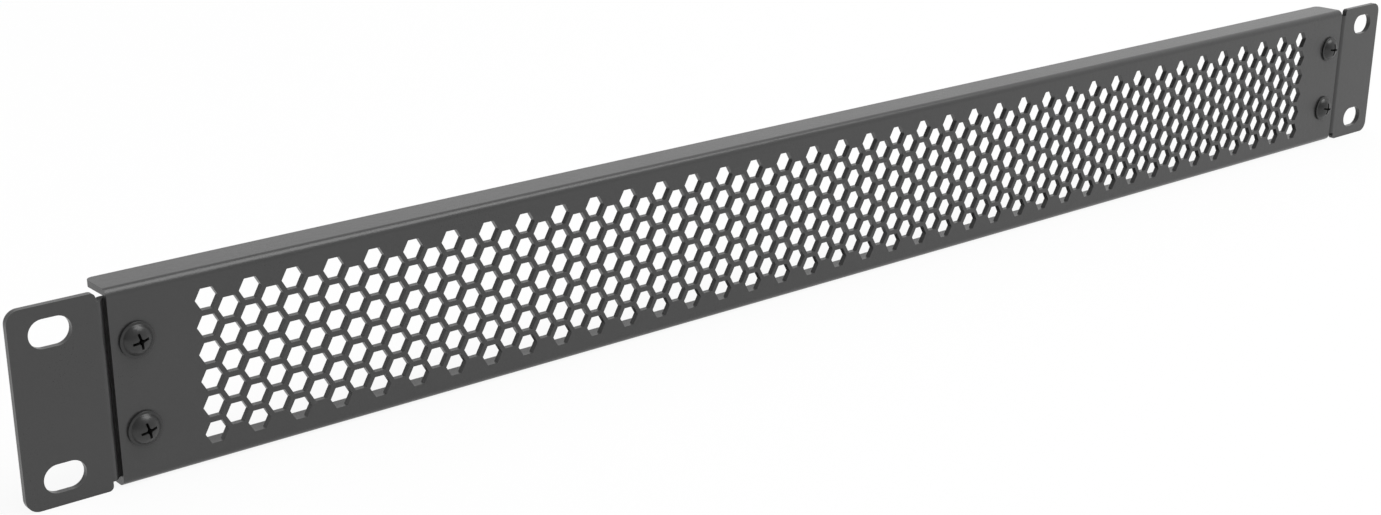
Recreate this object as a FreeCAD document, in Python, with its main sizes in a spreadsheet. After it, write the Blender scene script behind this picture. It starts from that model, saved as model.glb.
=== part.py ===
import FreeCAD, Part

import math
import os

import Sketcher

# Vented blanking panel for one unit of a 19-inch rack: a folded steel channel with a
# honeycomb of vents, and two rack ears screwed to its back, one at each end.
#
# X runs along the panel, Y from front to back and Z up. The origin is the middle of the four
# rack slots, on the back of the ears' tabs, which is the plane that seats on the rack posts.

# Driving sizes in millimetres: name, value, meaning.
SIZES = (
    ("panel_width", 440, "panel, end to end"),
    ("panel_height", 44, "panel, top to bottom"),
    ("panel_depth", 10, "front face to the rear edge of the flanges"),
    ("panel_sheet", 1.5, "sheet of the panel"),
    ("panel_bend", 0.4, "inner radius of the flange bends"),
    ("flange_corner", 1.8, "radius of the flanges' rear corners"),
    ("vent_side", 2.8, "side of one hexagonal vent"),
    ("row_bridge", 1.25, "metal left between two vents of a column"),
    ("column_bridge", 1.0, "metal left between two columns, measured level"),
    ("vents_to_plate", 6, "least distance from the vents to the ear's plate"),
    ("vents_to_bend", 2, "least distance from the vents to the flange bends"),
    ("ear_reach", 21.5, "ear, from the panel's end to the ear's outer edge"),
    ("ear_height", 44, "tab of the ear, top to bottom"),
    ("ear_plate", 13, "ear's plate behind the panel, from the panel's end inwards"),
    ("ear_sheet", 1.5, "sheet of the ears"),
    ("ear_bend", 0.5, "inner radius of the ear's two bends"),
    ("ear_play", 0.1, "clearance between the ear's plate and the flange bends"),
    ("tab_outer_corner", 3, "radius of the tab's outer corners"),
    ("tab_inner_corner", 1.1, "radius of the tab's corners beside the panel"),
    ("slot_length", 9.4, "rack slot, end to end"),
    ("slot_width", 6.35, "rack slot, across"),
    ("slot_inset", 8.95, "slot centre to the ear's outer edge"),
    ("slot_spacing", 31.75, "between the two slots of an ear"),
    ("screw_inset", 5.8, "screw axis to the panel's end"),
    ("screw_spacing", 20, "between the two screws of an ear"),
    ("thread", 4, "outer diameter of the screw thread"),
    ("screw_play", 0.25, "clearance round the screw in the panel and the ear"),
    ("screw_tip", 1.5, "screw standing out behind its nut"),
    ("head_overhang", 2, "screw head's rim, outwards from the thread"),
    ("head_rim", 0.6, "height of the rim under the screw's crown"),
    ("rim_step", 0.6, "rim's edge to the foot of the crown"),
    ("crown_height", 1.8, "screw's crown above its rim"),
    ("crown_margin", 0.15, "flat top of the crown round the recess's tips"),
    ("recess_span", 3.9, "cross recess, tip to tip"),
    ("recess_arm", 0.8, "width of the recess's arms"),
    ("recess_depth", 1.5, "depth of the recess below the top of the crown"),
    ("thread_play", 0.05, "clearance round the screw's thread in its nut"),
    ("nut_wall", 2.45, "nut, from its bore to its flats"),
    ("nut_height", 3.5, "nut behind the ear"),
)

doc = FreeCAD.newDocument("blanking_panel")
sheet = doc.addObject("Spreadsheet::Sheet", "size")


def fill_sheet():
    for row, (name, value, meaning) in enumerate(SIZES, 1):
        sheet.set(f"A{row}", name)
        sheet.set(f"B{row}", str(value))
        sheet.set(f"C{row}", meaning)
        sheet.setAlias(f"B{row}", name)
    doc.recompute()


def number(expression):
    """The present value of an expression on the sheet."""
    return float(doc.size.evalExpression(expression.replace("size.", "")))


# Derived sizes, as expressions on the sheet.
PLATE_HEIGHT = "(size.panel_height - 2 * (size.panel_sheet + size.panel_bend + size.ear_play))"
EAR_OUTER_BEND = "(size.ear_bend + size.ear_sheet)"
JOGGLE_REACH = "(size.ear_bend + " + EAR_OUTER_BEND + ")"
JOGGLE_SPAN = "sqrt(" + JOGGLE_REACH + "^2 - (" + JOGGLE_REACH + " - size.panel_sheet)^2)"
VENT_FLATS = "(sqrt(3) * size.vent_side)"
ROW_PITCH = "(" + VENT_FLATS + " + size.row_bridge)"
COLUMN_PITCH = "(1.5 * size.vent_side + size.column_bridge)"
VENT_ROOM_X = "(size.panel_width / 2 - size.ear_plate - size.vents_to_plate - size.vent_side)"
VENT_ROOM_Z = (
    "(size.panel_height / 2 - size.panel_sheet - size.panel_bend - size.vents_to_bend - "
    + VENT_FLATS + " / 2)"
)
# Long columns of vents, always odd so that one lies in the middle, and vents in each of them.
COLUMNS = "(2 * floor(" + VENT_ROOM_X + " / (2 * " + COLUMN_PITCH + ")) + 1)"
ROWS = "(2 * floor(" + VENT_ROOM_Z + " / " + ROW_PITCH + " + 0.5))"
HOLE_RADIUS = "(size.thread / 2 + size.screw_play)"
HEAD_RADIUS = "(size.thread / 2 + size.head_overhang)"
NUT_BORE = "(size.thread / 2 + size.thread_play)"
SCREW_LENGTH = "(size.panel_sheet + size.ear_sheet + size.nut_height + size.screw_tip)"


# Sketch helpers. Point 1 of a line or an arc is its start, 2 its end and 3 an arc's centre;
# geometry -1 is the sketch's origin.

def new_body(name):
    body = doc.addObject("PartDesign::Body", name)
    body.Label = name
    return body


def new_sketch(body, plane, name):
    sketch = body.newObject("Sketcher::SketchObject", name)
    origin_plane = [item for item in body.Origin.OriginFeatures if item.Role == plane][0]
    sketch.AttachmentSupport = [(origin_plane, "")]
    sketch.MapMode = "FlatFace"
    return sketch


def bind(sketch, kind, *items):
    """Add a dimension whose value is the expression that comes last in items."""
    *places, expression = items
    index = sketch.addConstraint(Sketcher.Constraint(kind, *places, number(expression)))
    sketch.setExpression(f"Constraints[{index}]", expression)


def place(sketch, geometry, point, across=None, up=None):
    """Tie a point to the origin by its distances along the sketch's two axes."""
    for kind, distance in (("DistanceX", across), ("DistanceY", up)):
        if distance is not None:
            bind(sketch, kind, -1, 1, geometry, point, distance)


def join(sketch, first, first_point, second, second_point, kind="Coincident"):
    sketch.addConstraint(Sketcher.Constraint(kind, first, first_point, second, second_point))


def add_line(sketch, start, end):
    points = [FreeCAD.Vector(*point, 0) for point in (start, end)]
    return sketch.addGeometry(Part.LineSegment(*points))


def add_arc(sketch, centre, radius, start, end):
    """An arc that runs anticlockwise between two angles in degrees."""
    circle = Part.Circle(FreeCAD.Vector(*centre, 0), FreeCAD.Vector(0, 0, 1), radius)
    return sketch.addGeometry(Part.ArcOfCircle(circle, math.radians(start), math.radians(end)))


def add_circle(sketch, across, up, radius):
    circle = Part.Circle()
    circle.Center = FreeCAD.Vector(number(across), number(up), 0)
    circle.Radius = number(radius)
    geometry = sketch.addGeometry(circle)
    place(sketch, geometry, 3, across, up)
    bind(sketch, "Radius", geometry, radius)
    return geometry


def add_outline(sketch, corners):
    """A closed outline of level and upright lines.

    A corner is its two coordinates and, where it is round, its radius.
    """
    points = [FreeCAD.Vector(number(corner[0]), number(corner[1]), 0) for corner in corners]
    radii = [number(corner[2]) if len(corner) > 2 else 0 for corner in corners]
    count = len(corners)
    lines = []
    ways = []
    for here in range(count):
        after = (here + 1) % count
        way = (points[after] - points[here]).normalize()
        start = points[here] + way * radii[here]
        end = points[after] - way * radii[after]
        line = sketch.addGeometry(Part.LineSegment(start, end))
        if corners[here][1] == corners[after][1]:
            sketch.addConstraint(Sketcher.Constraint("Horizontal", line))
            place(sketch, line, 1, up=corners[here][1])
        else:
            sketch.addConstraint(Sketcher.Constraint("Vertical", line))
            place(sketch, line, 1, across=corners[here][0])
        lines.append(line)
        ways.append(way)
    for here in range(count):
        before = here - 1
        if not radii[here]:
            join(sketch, lines[before], 2, lines[here], 1)
            continue
        centre = points[here] + (ways[here] - ways[before]) * radii[here]
        left_turn = ways[before].cross(ways[here]).z > 0
        spoke = ways[here] * -1 if left_turn else ways[before]
        start = math.degrees(math.atan2(spoke.y, spoke.x))
        arc = add_arc(sketch, (centre.x, centre.y), radii[here], start, start + 90)
        near, far = (1, 2) if left_turn else (2, 1)
        join(sketch, lines[before], 2, arc, near, "Tangent")
        join(sketch, arc, far, lines[here], 1, "Tangent")
        bind(sketch, "Radius", arc, corners[here][2])


def add_polygon(sketch, corners):
    """A closed outline of straight lines, each corner tied to the origin."""
    points = [(number(across), number(up)) for across, up in corners]
    lines = [add_line(sketch, *ends) for ends in zip(points, points[1:] + points[:1])]
    for index, (line, corner) in enumerate(zip(lines, corners)):
        join(sketch, lines[index - 1], 2, line, 1)
        place(sketch, line, 1, *corner)


def add_slot(sketch, across, up, length, width):
    """A level slot with round ends, about its centre."""
    x, y, long, wide = [number(item) for item in (across, up, length, width)]
    half = (long - wide) / 2
    right = add_arc(sketch, (x + half, y), wide / 2, -90, 90)
    left = add_arc(sketch, (x - half, y), wide / 2, 90, 270)
    top = add_line(sketch, (x + half, y + wide / 2), (x - half, y + wide / 2))
    bottom = add_line(sketch, (x - half, y - wide / 2), (x + half, y - wide / 2))
    join(sketch, right, 2, top, 1, "Tangent")
    join(sketch, top, 2, left, 1, "Tangent")
    join(sketch, left, 2, bottom, 1, "Tangent")
    join(sketch, bottom, 2, right, 1, "Tangent")
    sketch.addConstraint(Sketcher.Constraint("Horizontal", top))
    bind(sketch, "Radius", right, f"{width} / 2")
    reach = f"({length} - {width}) / 2"
    place(sketch, right, 3, f"{across} + {reach}", up)
    place(sketch, left, 3, across=f"{across} - {reach}")


def add_hexagon(sketch, across, up, side):
    """A regular hexagon with two level sides, about its centre."""
    centre = (number(across), number(up))
    radius = number(side)
    corners = []
    for turn in range(6):
        angle = math.radians(60 * turn)
        corners.append((centre[0] + radius * math.cos(angle), centre[1] + radius * math.sin(angle)))
    lines = [add_line(sketch, corners[turn - 1], corners[turn]) for turn in range(6)]
    circle = add_circle(sketch, across, up, side)
    sketch.toggleConstruction(circle)
    for turn, line in enumerate(lines):
        join(sketch, lines[turn - 1], 2, line, 1)
        sketch.addConstraint(Sketcher.Constraint("PointOnObject", line, 2, circle))
        if turn:
            sketch.addConstraint(Sketcher.Constraint("Equal", lines[0], line))
    level_side = lines[2]
    sketch.addConstraint(Sketcher.Constraint("Horizontal", level_side))


# Feature helpers

def pad_both_ways(body, sketch, name, length):
    pad = body.newObject("PartDesign::Pad", name)
    pad.Profile = sketch
    pad.SideType = "Symmetric"
    pad.setExpression("Length", length)
    return pad


def cut_through(body, sketch, name):
    """Cut the sketch through the whole body, to both sides of its plane."""
    pocket = body.newObject("PartDesign::Pocket", name)
    pocket.Profile = sketch
    pocket.Type = "ThroughAll"
    pocket.SideType = "Symmetric"
    return pocket


def revolve(body, sketch, name):
    turned = body.newObject("PartDesign::Revolution", name)
    turned.Profile = sketch
    turned.ReferenceAxis = (sketch, ["V_Axis"])
    turned.Angle = 360
    return turned


# The panel: a channel folded from one sheet. Its own origin is the middle of the front face.

def add_vent_column(sketch, across, rows):
    """One column of vents, spread evenly about the panel's middle height."""
    for row in range(rows):
        up = f"({row} - ({rows} - 1) / 2) * {ROW_PITCH}"
        add_hexagon(sketch, across, up, "size.vent_side")


def cut_vents(body):
    """Columns of vents, long and short in turn, with a long one at each end."""
    rows = round(number(ROWS))
    last_column = new_sketch(body, "XZ_Plane", "last_column")
    add_vent_column(last_column, f"({COLUMNS} - 1) * {COLUMN_PITCH}", rows)
    cut_through(body, last_column, "last_column_cut")

    first_pair = new_sketch(body, "XZ_Plane", "first_pair")
    add_vent_column(first_pair, f"(1 - {COLUMNS}) * {COLUMN_PITCH}", rows)
    add_vent_column(first_pair, f"(2 - {COLUMNS}) * {COLUMN_PITCH}", rows - 1)
    pocket = cut_through(body, first_pair, "first_pair_cut")
    vents = body.newObject("PartDesign::LinearPattern", "vents")
    vents.Originals = [pocket]
    vents.Direction = (first_pair, ["H_Axis"])
    vents.Mode = "Spacing"
    vents.setExpression("Offset", f"2 * {COLUMN_PITCH}")
    vents.setExpression("Occurrences", f"{COLUMNS} - 1")
    body.Tip = vents


def round_flange_corners(body, channel):
    """Round the four corners where the flanges' ends meet their rear edges."""
    doc.recompute()
    rear = number("size.panel_depth")
    edges = []
    for index, edge in enumerate(channel.Shape.Edges, 1):
        middle = edge.CenterOfMass
        upright = abs(edge.tangentAt(edge.FirstParameter).z) > 0.99
        at_end = abs(abs(middle.x) - number("size.panel_width / 2")) < 0.01
        if upright and at_end and abs(middle.y - rear) < 0.01:
            edges.append(f"Edge{index}")
    rounding = body.newObject("PartDesign::Fillet", "flange_corners")
    rounding.Base = (channel, edges)
    rounding.setExpression("Radius", "size.flange_corner")


def make_panel():
    body = new_body("panel")
    profile = new_sketch(body, "YZ_Plane", "channel_profile")
    outer_bend = "size.panel_sheet + size.panel_bend"
    depth, top, bottom = "size.panel_depth", "size.panel_height / 2", "-size.panel_height / 2"
    inner_top = "size.panel_height / 2 - size.panel_sheet"
    inner_bottom = "size.panel_sheet - size.panel_height / 2"
    add_outline(profile, (
        (depth, top),
        ("0", top, outer_bend),
        ("0", bottom, outer_bend),
        (depth, bottom),
        (depth, inner_bottom),
        ("size.panel_sheet", inner_bottom, "size.panel_bend"),
        ("size.panel_sheet", inner_top, "size.panel_bend"),
        (depth, inner_top),
    ))
    channel = pad_both_ways(body, profile, "channel", "size.panel_width")
    round_flange_corners(body, channel)

    holes = new_sketch(body, "XZ_Plane", "screw_holes")
    for side in ("-", ""):
        for level in ("-", ""):
            across = f"{side}(size.panel_width / 2 - size.screw_inset)"
            up = f"{level}size.screw_spacing / 2"
            add_circle(holes, across, up, HOLE_RADIUS)
    cut_through(body, holes, "screw_holes_cut")

    cut_vents(body)
    body.setExpression("Placement.Base.y", "-size.ear_sheet")
    return body


# An ear: a strip set back by one sheet, so that its plate lies against the back of the panel
# while its tab stays level with the panel's face. Its own origin is on the front plane at the
# panel's end; the tab runs towards -X. The two ears are one part, turned end for end.

def add_joggle_profile(sketch):
    bend, outer, panel, strip = [
        number(item) for item in ("size.ear_bend", EAR_OUTER_BEND, "size.panel_sheet", "size.ear_sheet")
    ]
    reach, plate, span = [number(item) for item in ("size.ear_reach", "size.ear_plate", JOGGLE_SPAN)]
    tab_centre = (-span, outer)
    plate_centre = (0, panel - bend)
    turn = math.degrees(math.asin(span / (bend + outer)))

    tab_front = add_line(sketch, (-reach, 0), (-span, 0))
    front_round = add_arc(sketch, tab_centre, outer, -90, turn - 90)
    front_hollow = add_arc(sketch, plate_centre, bend, 90, 90 + turn)
    plate_front = add_line(sketch, (0, panel), (plate, panel))
    plate_end = add_line(sketch, (plate, panel), (plate, panel + strip))
    plate_back = add_line(sketch, (plate, panel + strip), (0, panel + strip))
    back_round = add_arc(sketch, plate_centre, outer, 90, 90 + turn)
    back_hollow = add_arc(sketch, tab_centre, bend, -90, turn - 90)
    tab_back = add_line(sketch, (-span, strip), (-reach, strip))
    tab_end = add_line(sketch, (-reach, strip), (-reach, 0))

    join(sketch, tab_front, 2, front_round, 1, "Tangent")
    join(sketch, front_round, 2, front_hollow, 2, "Tangent")
    join(sketch, front_hollow, 1, plate_front, 1, "Tangent")
    join(sketch, plate_front, 2, plate_end, 1)
    join(sketch, plate_end, 2, plate_back, 1)
    join(sketch, plate_back, 2, back_round, 1, "Tangent")
    join(sketch, back_round, 2, back_hollow, 2, "Tangent")
    join(sketch, back_hollow, 1, tab_back, 1, "Tangent")
    join(sketch, tab_back, 2, tab_end, 1)
    join(sketch, tab_end, 2, tab_front, 1)
    for line in (tab_front, plate_front, plate_back, tab_back):
        sketch.addConstraint(Sketcher.Constraint("Horizontal", line))
    for line in (plate_end, tab_end):
        sketch.addConstraint(Sketcher.Constraint("Vertical", line))
    join(sketch, front_round, 3, back_hollow, 3)
    join(sketch, front_hollow, 3, back_round, 3)
    bind(sketch, "Radius", front_hollow, "size.ear_bend")
    bind(sketch, "Radius", back_hollow, "size.ear_bend")
    place(sketch, tab_front, 1, "-size.ear_reach", "0")
    place(sketch, plate_front, 1, "0", "size.panel_sheet")
    place(sketch, plate_back, 1, "size.ear_plate", "size.panel_sheet + size.ear_sheet")


def trim_ear(body):
    """Cut the bent strip to its front outline: a tall tab with round corners, a lower plate."""
    sketch = new_sketch(body, "XZ_Plane", "ear_outline")
    tab_outer, tab_inner = "-size.ear_reach", "-" + JOGGLE_SPAN
    plate_end, beyond_end = "size.ear_plate", "size.ear_plate + size.ear_sheet"
    tab_top, tab_bottom = "size.ear_height / 2", "-size.ear_height / 2"
    plate_top, plate_bottom = f"{PLATE_HEIGHT} / 2", f"-{PLATE_HEIGHT} / 2"
    add_outline(sketch, (
        (tab_outer, tab_top, "size.tab_outer_corner"),
        (tab_outer, tab_bottom, "size.tab_outer_corner"),
        (tab_inner, tab_bottom, "size.tab_inner_corner"),
        (tab_inner, plate_bottom),
        (plate_end, plate_bottom),
        (plate_end, plate_top),
        (tab_inner, plate_top),
        (tab_inner, tab_top, "size.tab_inner_corner"),
    ))
    beyond_tab = "-size.ear_reach - size.ear_sheet"
    beyond_top = "size.ear_height / 2 + size.ear_sheet"
    beyond_bottom = "-size.ear_height / 2 - size.ear_sheet"
    add_outline(sketch, (
        (beyond_tab, beyond_top),
        (beyond_tab, beyond_bottom),
        (beyond_end, beyond_bottom),
        (beyond_end, beyond_top),
    ))
    cut_through(body, sketch, "ear_trim")


def make_ear(name, side, turn):
    body = new_body(name)
    profile = new_sketch(body, "XY_Plane", name + "_profile")
    add_joggle_profile(profile)
    pad_both_ways(body, profile, name + "_strip", "size.ear_height")
    trim_ear(body)

    slots = new_sketch(body, "XZ_Plane", name + "_slots")
    screw_holes = new_sketch(body, "XZ_Plane", name + "_screw_holes")
    for level in ("-", ""):
        slot_x, slot_z = "size.slot_inset - size.ear_reach", f"{level}size.slot_spacing / 2"
        add_slot(slots, slot_x, slot_z, "size.slot_length", "size.slot_width")
        add_circle(screw_holes, "size.screw_inset", f"{level}size.screw_spacing / 2", HOLE_RADIUS)
    cut_through(body, slots, name + "_slots_cut")
    cut_through(body, screw_holes, name + "_screw_holes_cut")

    body.Placement.Rotation = FreeCAD.Rotation(FreeCAD.Vector(0, 1, 0), turn)
    body.setExpression("Placement.Base.x", f"{side}size.panel_width / 2")
    body.setExpression("Placement.Base.y", "-size.ear_sheet")
    return body


# A screw: its own origin is in the middle of the head's seat, and its shank runs towards +Y.

def add_screw_profile(sketch):
    """Half of the screw's section: crown, rim and shank, on one side of its axis."""
    head_top = "-size.head_rim - size.crown_height"
    crown_foot = HEAD_RADIUS + " - size.rim_step"
    crown_top = "size.recess_span / 2 + size.crown_margin"
    add_polygon(sketch, (
        ("0", head_top),
        (crown_top, head_top),
        (crown_foot, "-size.head_rim"),
        (HEAD_RADIUS, "-size.head_rim"),
        (HEAD_RADIUS, "0"),
        ("size.thread / 2", "0"),
        ("size.thread / 2", SCREW_LENGTH),
        ("0", SCREW_LENGTH),
    ))


def cut_recess(body, name):
    """A cross recess for a driver, cut into the crown down to a flat floor."""
    sketch = new_sketch(body, "XZ_Plane", name + "_recess")
    tip, arm = "size.recess_span / 2", "size.recess_arm / 2"
    add_outline(sketch, (
        (tip, "-" + arm), (tip, arm), (arm, arm), (arm, tip),
        ("-" + arm, tip), ("-" + arm, arm), ("-" + tip, arm), ("-" + tip, "-" + arm),
        ("-" + arm, "-" + arm), ("-" + arm, "-" + tip), (arm, "-" + tip), (arm, "-" + arm),
    ))
    floor = "size.head_rim + size.crown_height - size.recess_depth"
    sketch.setExpression("AttachmentOffset.Base.z", floor)
    pocket = body.newObject("PartDesign::Pocket", name + "_recess_cut")
    pocket.Profile = sketch
    pocket.Reversed = True
    pocket.Type = "ThroughAll"


def make_screw(name, side, level, turn):
    body = new_body(name)
    profile = new_sketch(body, "XY_Plane", name + "_profile")
    add_screw_profile(profile)
    revolve(body, profile, name + "_blank")
    cut_recess(body, name)
    body.Placement.Rotation = FreeCAD.Rotation(FreeCAD.Vector(0, 1, 0), turn)
    body.setExpression("Placement.Base.x", f"{side}(size.panel_width / 2 - size.screw_inset)")
    body.setExpression("Placement.Base.y", "-size.ear_sheet")
    body.setExpression("Placement.Base.z", f"{level}size.screw_spacing / 2")
    return body


# A weld nut, on the back of the ear's plate. Its own origin is in the middle of its seat.

def make_nut(name, side, level):
    body = new_body(name)
    sketch = new_sketch(body, "XZ_Plane", name + "_face")
    add_hexagon(sketch, "0", "0", f"2 / sqrt(3) * ({NUT_BORE} + size.nut_wall)")
    add_circle(sketch, "0", "0", NUT_BORE)
    pad = body.newObject("PartDesign::Pad", name + "_pad")
    pad.Profile = sketch
    pad.Reversed = True
    pad.setExpression("Length", "size.nut_height")
    body.setExpression("Placement.Base.x", f"{side}(size.panel_width / 2 - size.screw_inset)")
    body.setExpression("Placement.Base.y", "size.panel_sheet")
    body.setExpression("Placement.Base.z", f"{level}size.screw_spacing / 2")
    return body


def make_parts():
    parts = [
        make_panel(),
        make_ear("ear_left", "-", 0),
        make_ear("ear_right", "", 180),
    ]
    # Corner of the panel, its two signs and how far its screw happens to be turned, in degrees.
    corners = (
        ("left_top", "-", "", 13),
        ("left_bottom", "-", "-", 24),
        ("right_top", "", "", 5),
        ("right_bottom", "", "-", 8),
    )
    for corner, side, level, turn in corners:
        parts.append(make_screw("screw_" + corner, side, level, turn))
        parts.append(make_nut("nut_" + corner, side, level))
    return parts


def check_document(parts):
    for item in doc.Objects:
        if "Invalid" in item.State or "Error" in item.State:
            raise RuntimeError(f"{item.Label} failed: {item.State}")
    for part in parts:
        if part.Shape.isNull() or not part.Shape.isValid() or len(part.Shape.Solids) != 1:
            raise RuntimeError(f"{part.Label} has no sound solid")


fill_sheet()
parts = make_parts()
doc.recompute()
check_document(parts)
os.makedirs("parts", exist_ok=True)
for part in parts:
    part.Shape.exportStep(f"parts/{part.Label}.step")
    print(f"{part.Label}: {part.Shape.Volume:.1f} mm3")
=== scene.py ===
import math

import bpy
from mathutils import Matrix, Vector


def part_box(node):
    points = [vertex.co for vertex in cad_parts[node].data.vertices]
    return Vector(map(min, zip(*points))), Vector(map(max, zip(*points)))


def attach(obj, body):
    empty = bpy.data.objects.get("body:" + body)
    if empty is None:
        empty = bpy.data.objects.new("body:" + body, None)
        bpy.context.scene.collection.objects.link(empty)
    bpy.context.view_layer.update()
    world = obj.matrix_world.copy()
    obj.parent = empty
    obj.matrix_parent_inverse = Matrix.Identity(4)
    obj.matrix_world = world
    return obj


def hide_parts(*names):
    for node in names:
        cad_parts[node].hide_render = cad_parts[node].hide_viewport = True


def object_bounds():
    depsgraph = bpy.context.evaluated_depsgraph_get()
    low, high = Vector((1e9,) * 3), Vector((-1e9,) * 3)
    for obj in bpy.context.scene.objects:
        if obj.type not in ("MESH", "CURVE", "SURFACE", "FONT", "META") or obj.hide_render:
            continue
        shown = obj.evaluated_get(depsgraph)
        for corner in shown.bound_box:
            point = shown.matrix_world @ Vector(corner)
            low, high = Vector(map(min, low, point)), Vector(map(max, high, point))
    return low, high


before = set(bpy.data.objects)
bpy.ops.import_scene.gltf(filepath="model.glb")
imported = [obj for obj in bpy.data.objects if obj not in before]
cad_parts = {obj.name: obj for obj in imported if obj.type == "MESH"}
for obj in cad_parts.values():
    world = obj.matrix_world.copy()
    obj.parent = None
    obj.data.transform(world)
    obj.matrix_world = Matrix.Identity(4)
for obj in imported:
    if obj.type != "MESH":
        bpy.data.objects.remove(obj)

# Vented blanking panel for one unit of a rack, in metres. X runs along the panel, Y into the
# rack and Z up, and the origin lies midway between the four rack slots.

cad_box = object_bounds()
MM = 0.001


# Finishes

class Level:
    """A number in a finish; sums on it add the Math nodes that work them out."""

    def __init__(self, finish, socket):
        self.finish = finish
        self.socket = socket

    def maths(self, operation, other):
        return self.finish.node("ShaderNodeMath", {"operation": operation}, {0: self, 1: other})

    def __add__(self, other):
        return self.maths("ADD", other)

    def __mul__(self, other):
        return self.maths("MULTIPLY", other)

    __radd__ = __add__
    __rmul__ = __mul__


class Finish:
    """The nodes of a material or of the world."""

    def __init__(self, owner):
        owner.use_nodes = True
        self.owner = owner
        self.tree = owner.node_tree
        self.tree.nodes.clear()

    def node(self, kind, settings=None, inputs=None, output=0):
        """Add a node: its settings first, then the values or links of its sockets."""
        node = self.tree.nodes.new(kind)
        for name, value in (settings or {}).items():
            setattr(node, name, value)
        for name, value in (inputs or {}).items():
            if isinstance(value, Level):
                self.tree.links.new(value.socket, node.inputs[name])
            else:
                node.inputs[name].default_value = value
        return Level(self, node.outputs[output]) if node.outputs else None

    def grain(self, size, detail=2.0, roughness=0.5):
        """Even noise from 0 to 1 whose lumps are about that size in metres."""
        place = self.node("ShaderNodeTexCoord", output="Object")
        return self.node("ShaderNodeTexNoise", {}, {
            "Vector": place, "Scale": 1 / size, "Detail": detail, "Roughness": roughness,
        }, "Fac")

    def blend(self, mask, low, high):
        """The low colour where the mask is 0 and the high one where it is 1."""
        factor, first, second, result = 0, 6, 7, 2
        return self.node("ShaderNodeMix", {"data_type": "RGBA"}, {
            factor: mask, first: low, second: high,
        }, result)

    def relief(self, height, depth, under=None):
        """A bump of that depth in metres, on top of another one."""
        inputs = {"Height": height, "Distance": depth, "Strength": 1.0}
        if under:
            inputs["Normal"] = under
        return self.node("ShaderNodeBump", {}, inputs)

    def paint(self, colour, roughness, relief):
        """The material, as a paint or plating of that colour, roughness and relief."""
        shader = self.node("ShaderNodeBsdfPrincipled", {}, {
            "Base Color": colour, "Roughness": roughness, "IOR": 1.5, "Normal": relief,
        })
        self.node("ShaderNodeOutputMaterial", {}, {"Surface": shader})
        return self.owner


def new_finish(name):
    return Finish(bpy.data.materials.new(name))


def grey(level):
    return (level, level, level, 1)


def powder_coat():
    """Satin dark grey powder coat: a soft orange peel, a fine grain and slightly uneven cover."""
    finish = new_finish("dark_grey_powder_coat")
    cover = finish.grain(28 * MM, detail=3.0)
    peel = finish.grain(1.6 * MM)
    grit = finish.grain(0.24 * MM, detail=4.0, roughness=0.65)
    colour = finish.blend(cover * 0.5 + grit * 0.5, grey(0.033), grey(0.045))
    roughness = 0.22 + 0.10 * grit + 0.05 * cover
    relief = finish.relief(grit, 0.02 * MM, under=finish.relief(peel, 0.03 * MM))
    return finish.paint(colour, roughness, relief)


def black_plating_with_painted_shade():
    """Satin black plating on the screws, slightly uneven, with painted shade in the recess: near
    black and duller there.
    """
    finish = new_finish("satin_black_screw_painted_recess_shade")
    cover = finish.grain(1.8 * MM)
    grit = finish.grain(0.12 * MM)
    recess_shade = finish.node("ShaderNodeAttribute", {"attribute_name": "recess_shade"}, {}, "Fac")
    plated = finish.blend(cover, grey(0.013), grey(0.022))
    # Painted shade: faces in the cross recess are painted near black, for the shade that falls
    # inside it.
    colour = finish.blend(recess_shade, plated, grey(0.004))
    roughness = 0.26 + 0.12 * cover + 0.35 * recess_shade
    relief = finish.relief(grit, 0.004 * MM, under=finish.relief(cover, 0.012 * MM))
    return finish.paint(colour, roughness, relief)


COAT = powder_coat()
BLACK = black_plating_with_painted_shade()


# Bench work

def deselect_all():
    bpy.ops.object.select_all(action="DESELECT")


def take(piece):
    """Select that piece alone and make it the active one."""
    deselect_all()
    bpy.context.view_layer.objects.active = piece
    piece.select_set(True)


def shape(piece):
    """Go into edit mode on that piece, with all of it selected."""
    take(piece)
    bpy.ops.object.mode_set(mode="EDIT")
    bpy.ops.mesh.select_mode(type="FACE")
    bpy.ops.mesh.select_all(action="SELECT")


def leave():
    bpy.ops.object.mode_set(mode="OBJECT")


def apply_place(piece):
    """Put the piece's place, turn and scale into its mesh."""
    take(piece)
    bpy.ops.object.transform_apply(location=True, rotation=True, scale=True)


def settle(piece):
    """Put the piece's place into its mesh, with its faces outwards."""
    apply_place(piece)
    shape(piece)
    bpy.ops.mesh.normals_make_consistent(inside=False)
    leave()


def modify(piece, kind, **settings):
    """Add a modifier and apply it."""
    take(piece)
    modifier = piece.modifiers.new(kind.lower(), kind)
    for name, value in settings.items():
        setattr(modifier, name, value)
    bpy.ops.object.modifier_apply(modifier=modifier.name)


def round_edges(piece, width):
    """Round over every edge sharper than 40 degrees."""
    modify(piece, "BEVEL", width=width, segments=2, limit_method="ANGLE",
           angle_limit=math.radians(40))


def cut_with(piece, cutter, operation="DIFFERENCE"):
    modify(piece, "BOOLEAN", object=cutter, operation=operation, solver="EXACT")
    bpy.data.objects.remove(cutter)


def clean(piece, gap):
    """Close gaps and drop slivers shorter than that gap, which a cut leaves behind."""
    shape(piece)
    bpy.ops.mesh.remove_doubles(threshold=gap)
    bpy.ops.mesh.dissolve_degenerate(threshold=gap)
    leave()


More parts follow.
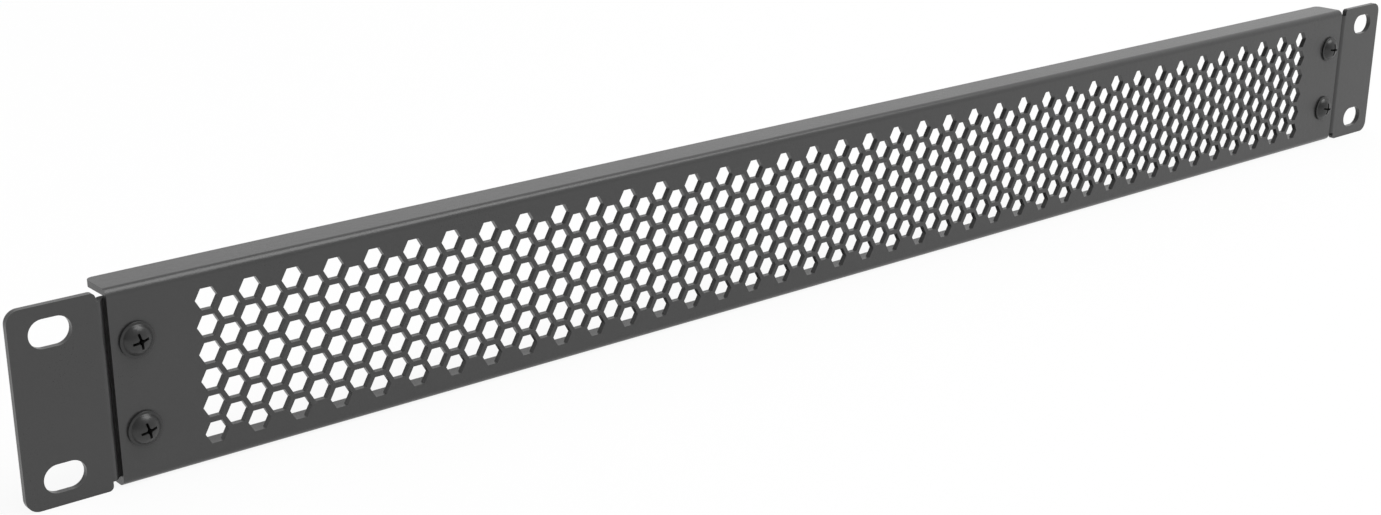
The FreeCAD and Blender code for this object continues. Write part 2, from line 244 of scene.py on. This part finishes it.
def turned(name, rings, sides):
    """A closed piece turned about Y. Each of its rings is a radius and a place on Y, in mm."""
    deselect_all()
    rings = [(radius * MM, along * MM) for radius, along in rings]
    radius, along = rings[0]
    bpy.ops.mesh.primitive_circle_add(
        vertices=sides, radius=radius, fill_type="NGON",
        location=(0, along, 0), rotation=(math.pi / 2, 0, 0),
    )
    piece = bpy.context.object
    piece.name = name
    apply_place(piece)
    shape(piece)
    for next_radius, next_along in rings[1:]:
        bpy.ops.mesh.extrude_region_move(
            TRANSFORM_OT_translate={"value": (0, next_along - along, 0)})
        if next_radius:
            growth = next_radius / radius
            bpy.ops.transform.resize(
                value=(growth, 1, growth), center_override=(0, next_along, 0))
        else:
            bpy.ops.mesh.merge(type="CENTER")
        radius, along = next_radius, next_along
    leave()
    settle(piece)
    return piece


def smooth(piece, degrees=35):
    """Shade it smooth except at edges sharper than that angle."""
    take(piece)
    bpy.ops.object.shade_smooth_by_angle(angle=math.radians(degrees))


def dress(piece, material):
    piece.data.materials.clear()
    piece.data.materials.append(material)


def fit(piece, node, material):
    """The piece stands for a solid of the panel and takes its finish."""
    dress(piece, material)
    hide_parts(node)
    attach(piece, "root")


def add_piece(name, mesh):
    """A new piece with its own copy of that mesh."""
    piece = bpy.data.objects.new(name, mesh.copy())
    bpy.context.collection.objects.link(piece)
    return piece


def place_copy(master, name, node, seat, degrees=0):
    """A copy of a piece in line with that solid, turned about Y and seated at that place on Y."""
    low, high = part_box(node)
    copy = add_piece(name, master.data)
    copy.location = (low + high) / 2
    copy.location.y = seat
    copy.rotation_euler = (0, math.radians(degrees), 0)
    settle(copy)
    return copy


# The folded panel and its ears, with their edges rounded over by the coat

COAT_ROUNDING = 0.12 * MM


def coated(node):
    """A copy of that solid, with its flat faces made whole and its edges rounded over."""
    piece = add_piece(node + "_coated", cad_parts[node].data)
    shape(piece)
    bpy.ops.mesh.remove_doubles(threshold=0.002 * MM)
    bpy.ops.mesh.dissolve_limited(angle_limit=math.radians(0.3))
    leave()
    round_edges(piece, COAT_ROUNDING)
    smooth(piece, degrees=60)
    modify(piece, "WEIGHTED_NORMAL", keep_sharp=True)
    fit(piece, node, COAT)


for node in ("panel", "ear_left", "ear_right"):
    coated(node)


# Screws: a domed crown on a round rim, with a cross recess, on an M4 thread. Sizes are in mm,
# and places along Y start at the panel's face.

CROWN_RADIUS = 3.38
CROWN_FOOT = -0.6
CROWN_HEIGHT = 1.8
CROWN_START, CROWN_STEP = 20, 4  # degrees up its oval section

RECESS_TOP, RECESS_FLOOR = -2.7, -0.45
ARM_LENGTH, ARM_WIDTH = 4.8, 0.62
LENGTH_KEPT, WIDTH_KEPT = 0.3, 0.7  # shares of an arm's size that it has at the floor
CORE_TOP_RADIUS, CORE_END_RADIUS, CORE_TIP = 0.68, 0.4, 0.1

THREAD_PITCH, THREAD_TURNS, THREAD_END = 0.7, 10, 7.3
RIDGE_RADIUS, RIDGE_HEIGHT, RIDGE_WIDTH = 1.79, 0.42, 0.084  # the radius at mid height


def crown(degrees):
    """Radius and place along Y on the crown, at that angle up its oval section."""
    start, up = math.radians(CROWN_START), math.radians(degrees)
    width = CROWN_RADIUS / math.cos(start)
    height = CROWN_HEIGHT / (1 - math.sin(start))
    return width * math.cos(up), CROWN_FOOT - height * (math.sin(up) - math.sin(start))


def screw_blank():
    """The screw without its recess and thread, from its tip to the top of its crown."""
    shank = [(1.25, 8.0), (1.6, 7.65), (1.6, 0.0)]
    undercut = [(3.62, 0.0), (3.64, -0.14), (3.93, -0.36)]
    rim = [(4.0, -0.44), (3.99, -0.52), (3.9, -0.6), (3.5, -0.59), (3.42, -0.6), (3.36, -0.66)]
    dome = [crown(degrees) for degrees in range(CROWN_START + CROWN_STEP, 90, CROWN_STEP)]
    top = [(0, CROWN_FOOT - CROWN_HEIGHT)]
    return turned("screw", shank + undercut + rim + dome + top, sides=64)


def arm_cutter(across):
    """One bar of the driver's point, drawn in towards its tip."""
    deselect_all()
    halfway = (RECESS_TOP + RECESS_FLOOR) / 2
    bpy.ops.mesh.primitive_cube_add(size=MM, location=(0, halfway * MM, 0))
    cutter = bpy.context.object
    depth = RECESS_FLOOR - RECESS_TOP
    if across:
        cutter.scale = (ARM_LENGTH, depth, ARM_WIDTH)
        kept = (LENGTH_KEPT, 1, WIDTH_KEPT)
    else:
        cutter.scale = (ARM_WIDTH, depth, ARM_LENGTH)
        kept = (WIDTH_KEPT, 1, LENGTH_KEPT)
    apply_place(cutter)
    shape(cutter)
    bpy.ops.mesh.select_all(action="DESELECT")
    leave()
    for face in cutter.data.polygons:
        face.select = face.normal.y > 0.9
    bpy.ops.object.mode_set(mode="EDIT")
    bpy.ops.transform.resize(value=kept, center_override=(0, RECESS_FLOOR * MM, 0))
    leave()
    settle(cutter)
    return cutter


def cut_cross(screw):
    for across in (True, False):
        cut_with(screw, arm_cutter(across))
    core = [
        (CORE_TOP_RADIUS, RECESS_TOP),
        (CORE_END_RADIUS, RECESS_FLOOR - CORE_TIP),
        (0, RECESS_FLOOR),
    ]
    cut_with(screw, turned("core", core, sides=24))


def mark_recess_shade(screw):
    """Note on the faces which of them lie inside the recess, where the finish paints shade."""
    under_crown, above_panel, past_arms = 0.08, 0.3, 0.1  # room left round it, in mm
    inside = screw.data.attributes.new("recess_shade", "FLOAT", "FACE")
    widest = crown(0)[0]
    for face in screw.data.polygons:
        across, along, up = face.center / MM
        reach = math.hypot(across, up)
        outside = crown(math.degrees(math.acos(min(1, reach / widest))))[1]
        deep = outside + under_crown < along < -above_panel
        inside.data[face.index].value = float(deep and reach < ARM_LENGTH / 2 + past_arms)


def thread():
    """The thread as a thin ridge of even width, wound round the shank."""
    deselect_all()
    start = THREAD_END - THREAD_TURNS * THREAD_PITCH
    bpy.ops.mesh.primitive_plane_add(size=MM, location=(RIDGE_RADIUS * MM, start * MM, 0))
    ridge = bpy.context.object
    ridge.scale = (RIDGE_HEIGHT, RIDGE_WIDTH, 1)
    apply_place(ridge)
    shape(ridge)
    bpy.ops.mesh.delete(type="ONLY_FACE")
    leave()
    modify(ridge, "SCREW", axis="Y", angle=2 * math.pi, screw_offset=THREAD_PITCH * MM,
           iterations=THREAD_TURNS, steps=32, render_steps=32)
    shape(ridge)
    bpy.ops.mesh.fill_holes(sides=4)
    leave()
    settle(ridge)
    return ridge


def make_screw():
    screw = screw_blank()
    cut_cross(screw)
    clean(screw, gap=0.004 * MM)
    smooth(screw, degrees=50)
    mark_recess_shade(screw)
    ridge = thread()
    smooth(ridge)
    take(screw)
    ridge.select_set(True)
    bpy.ops.object.join()
    return screw


# Each corner has a screw and a nut. The turn in degrees is how the screw was left.
TURNS = {"left_top": -12, "left_bottom": -13, "right_top": 6, "right_bottom": 10}

screw = make_screw()
panel_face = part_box("panel")[0].y
for corner, turn in TURNS.items():
    node = "screw_" + corner
    copy = place_copy(screw, "cross_" + node, node, panel_face, turn)
    fit(copy, node, BLACK)
bpy.data.objects.remove(screw)


# Weld nuts: hexagons with their rear corners turned off, countersunk at both ends. Sizes are in
# mm, and places along Y start at the ears' plates.

NUT_FLATS, NUT_HEIGHT, NUT_ROUNDING = 9, 3.5, 0.15


def make_nut():
    deselect_all()
    bpy.ops.mesh.primitive_cylinder_add(
        vertices=6, radius=NUT_FLATS / math.sqrt(3) * MM, depth=NUT_HEIGHT * MM,
        location=(0, NUT_HEIGHT / 2 * MM, 0), rotation=(math.pi / 2, math.radians(30), 0),
    )
    nut = bpy.context.object
    apply_place(nut)
    round_edges(nut, NUT_ROUNDING * MM)
    turned_off = [(4.8, -0.2), (5.45, 0.3), (5.45, 2.92), (4.3, 3.65)]
    cut_with(nut, turned("turned_off", turned_off, sides=60), "INTERSECT")
    clean(nut, gap=0.01 * MM)
    bore = [(2.8, -0.4), (2.05, 0.35), (2.05, 3.15), (2.8, 3.9)]
    cut_with(nut, turned("bore", bore, sides=48))
    clean(nut, gap=0.01 * MM)
    smooth(nut)
    return nut


nut = make_nut()
plate_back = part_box("nut_left_top")[0].y
for corner in TURNS:
    node = "nut_" + corner
    fit(place_copy(nut, "weld_" + node, node, plate_back), node, COAT)
bpy.data.objects.remove(nut)


# The studio: a pale floor and backdrop, plain soft light and the camera

def seen_directly(finish):
    """1 for what the camera, a gloss or a glass sees, 0 for the light that reaches the part."""
    rays = ("Is Camera Ray", "Is Glossy Ray", "Is Transmission Ray")
    camera, gloss, glass = [finish.node("ShaderNodeLightPath", output=ray) for ray in rays]
    return camera.maths("MAXIMUM", gloss.maths("MAXIMUM", glass))


def set_world():
    """A light tent that is brighter on the panel's right than on its left."""
    level, lean = 0.64, 0.26
    world = Finish(bpy.data.worlds.new("studio"))
    ways = world.node("ShaderNodeTexCoord", output="Generated")
    across = world.node("ShaderNodeSeparateXYZ", {}, {"Vector": ways}, "X")
    light = world.node("ShaderNodeBackground", {}, {
        "Color": grey(1), "Strength": level + lean * across,
    })
    world.node("ShaderNodeOutputWorld", {}, {"Surface": light})
    bpy.context.scene.world = world.owner


def pale_paper():
    """Pale paper, which the camera, glosses and glass see as nine tenths plain white."""
    whiteness = 0.9
    finish = new_finish("pale_paper")
    colour = finish.blend(finish.grain(6 * MM), grey(0.91), grey(0.93))
    matt = finish.node("ShaderNodeBsdfDiffuse", {}, {"Color": colour})
    white = finish.node("ShaderNodeEmission", {}, {"Color": grey(1), "Strength": 1.0})
    mixed = finish.node("ShaderNodeMixShader", {}, {
        0: seen_directly(finish) * whiteness, 1: matt, 2: white,
    })
    finish.node("ShaderNodeOutputMaterial", {}, {"Surface": mixed})
    return finish.owner


def heading(bearing, dip=0.0):
    """A unit vector at that angle from +Y round to +X, pointing down by the dip."""
    return Vector((
        math.sin(bearing) * math.cos(dip), math.cos(bearing) * math.cos(dip), -math.sin(dip),
    ))


def add_floor(paper):
    bpy.ops.mesh.primitive_plane_add(size=60, location=(0, 0, cad_box[0].z))
    floor = bpy.context.object
    floor.name = "floor"
    dress(floor, paper)


def add_backdrop(paper):
    """A wide board well behind the panel, facing the camera and longer on the view's left."""
    away, left, right, height = 3.2, 9.0, 4.0, 2.6
    bearing = math.radians(40)
    spot = heading(bearing) * away + heading(bearing + math.pi / 2) * (right - left) / 2
    spot.z = cad_box[0].z + height / 2
    bpy.ops.mesh.primitive_plane_add(size=1, location=spot, rotation=(math.pi / 2, 0, -bearing))
    board = bpy.context.object
    board.name = "backdrop"
    board.scale = (left + right, height, 1)
    apply_place(board)
    dress(board, paper)


def add_softbox(name, way, size, level):
    """A square softbox on that side of the panel, which lights it at that level face on."""
    away = 2.4
    way = Vector(way).normalized()
    bpy.ops.object.light_add(type="AREA", location=way * away)
    lamp = bpy.context.object
    lamp.name = name
    lamp.data.size = size
    lamp.data.energy = level * math.pi ** 2 * away ** 2
    lamp.rotation_euler = (-way).to_track_quat("-Z", "Y").to_euler()


def add_camera():
    """The camera, in front of the panel's left end and above it, looking towards its right."""
    view = heading(math.radians(39.7225), dip=math.radians(20.2019))
    bpy.ops.object.camera_add(location=(-0.38898, -0.38174, 0.16132))
    camera = bpy.context.object
    camera.rotation_euler = view.to_track_quat("-Z", "Y").to_euler()
    camera.data.sensor_width = 36
    camera.data.lens = 54.28
    camera.data.shift_x = 0.0217
    camera.data.shift_y = 0.0507
    camera.data.clip_start = 0.01
    bpy.context.scene.camera = camera


deselect_all()
paper = pale_paper()
set_world()
add_floor(paper)
add_backdrop(paper)
add_softbox("overhead_softbox", way=(0.31, -0.26, 0.91), size=1.7, level=0.6)
add_camera()
bpy.context.scene.view_settings.view_transform = "Standard"
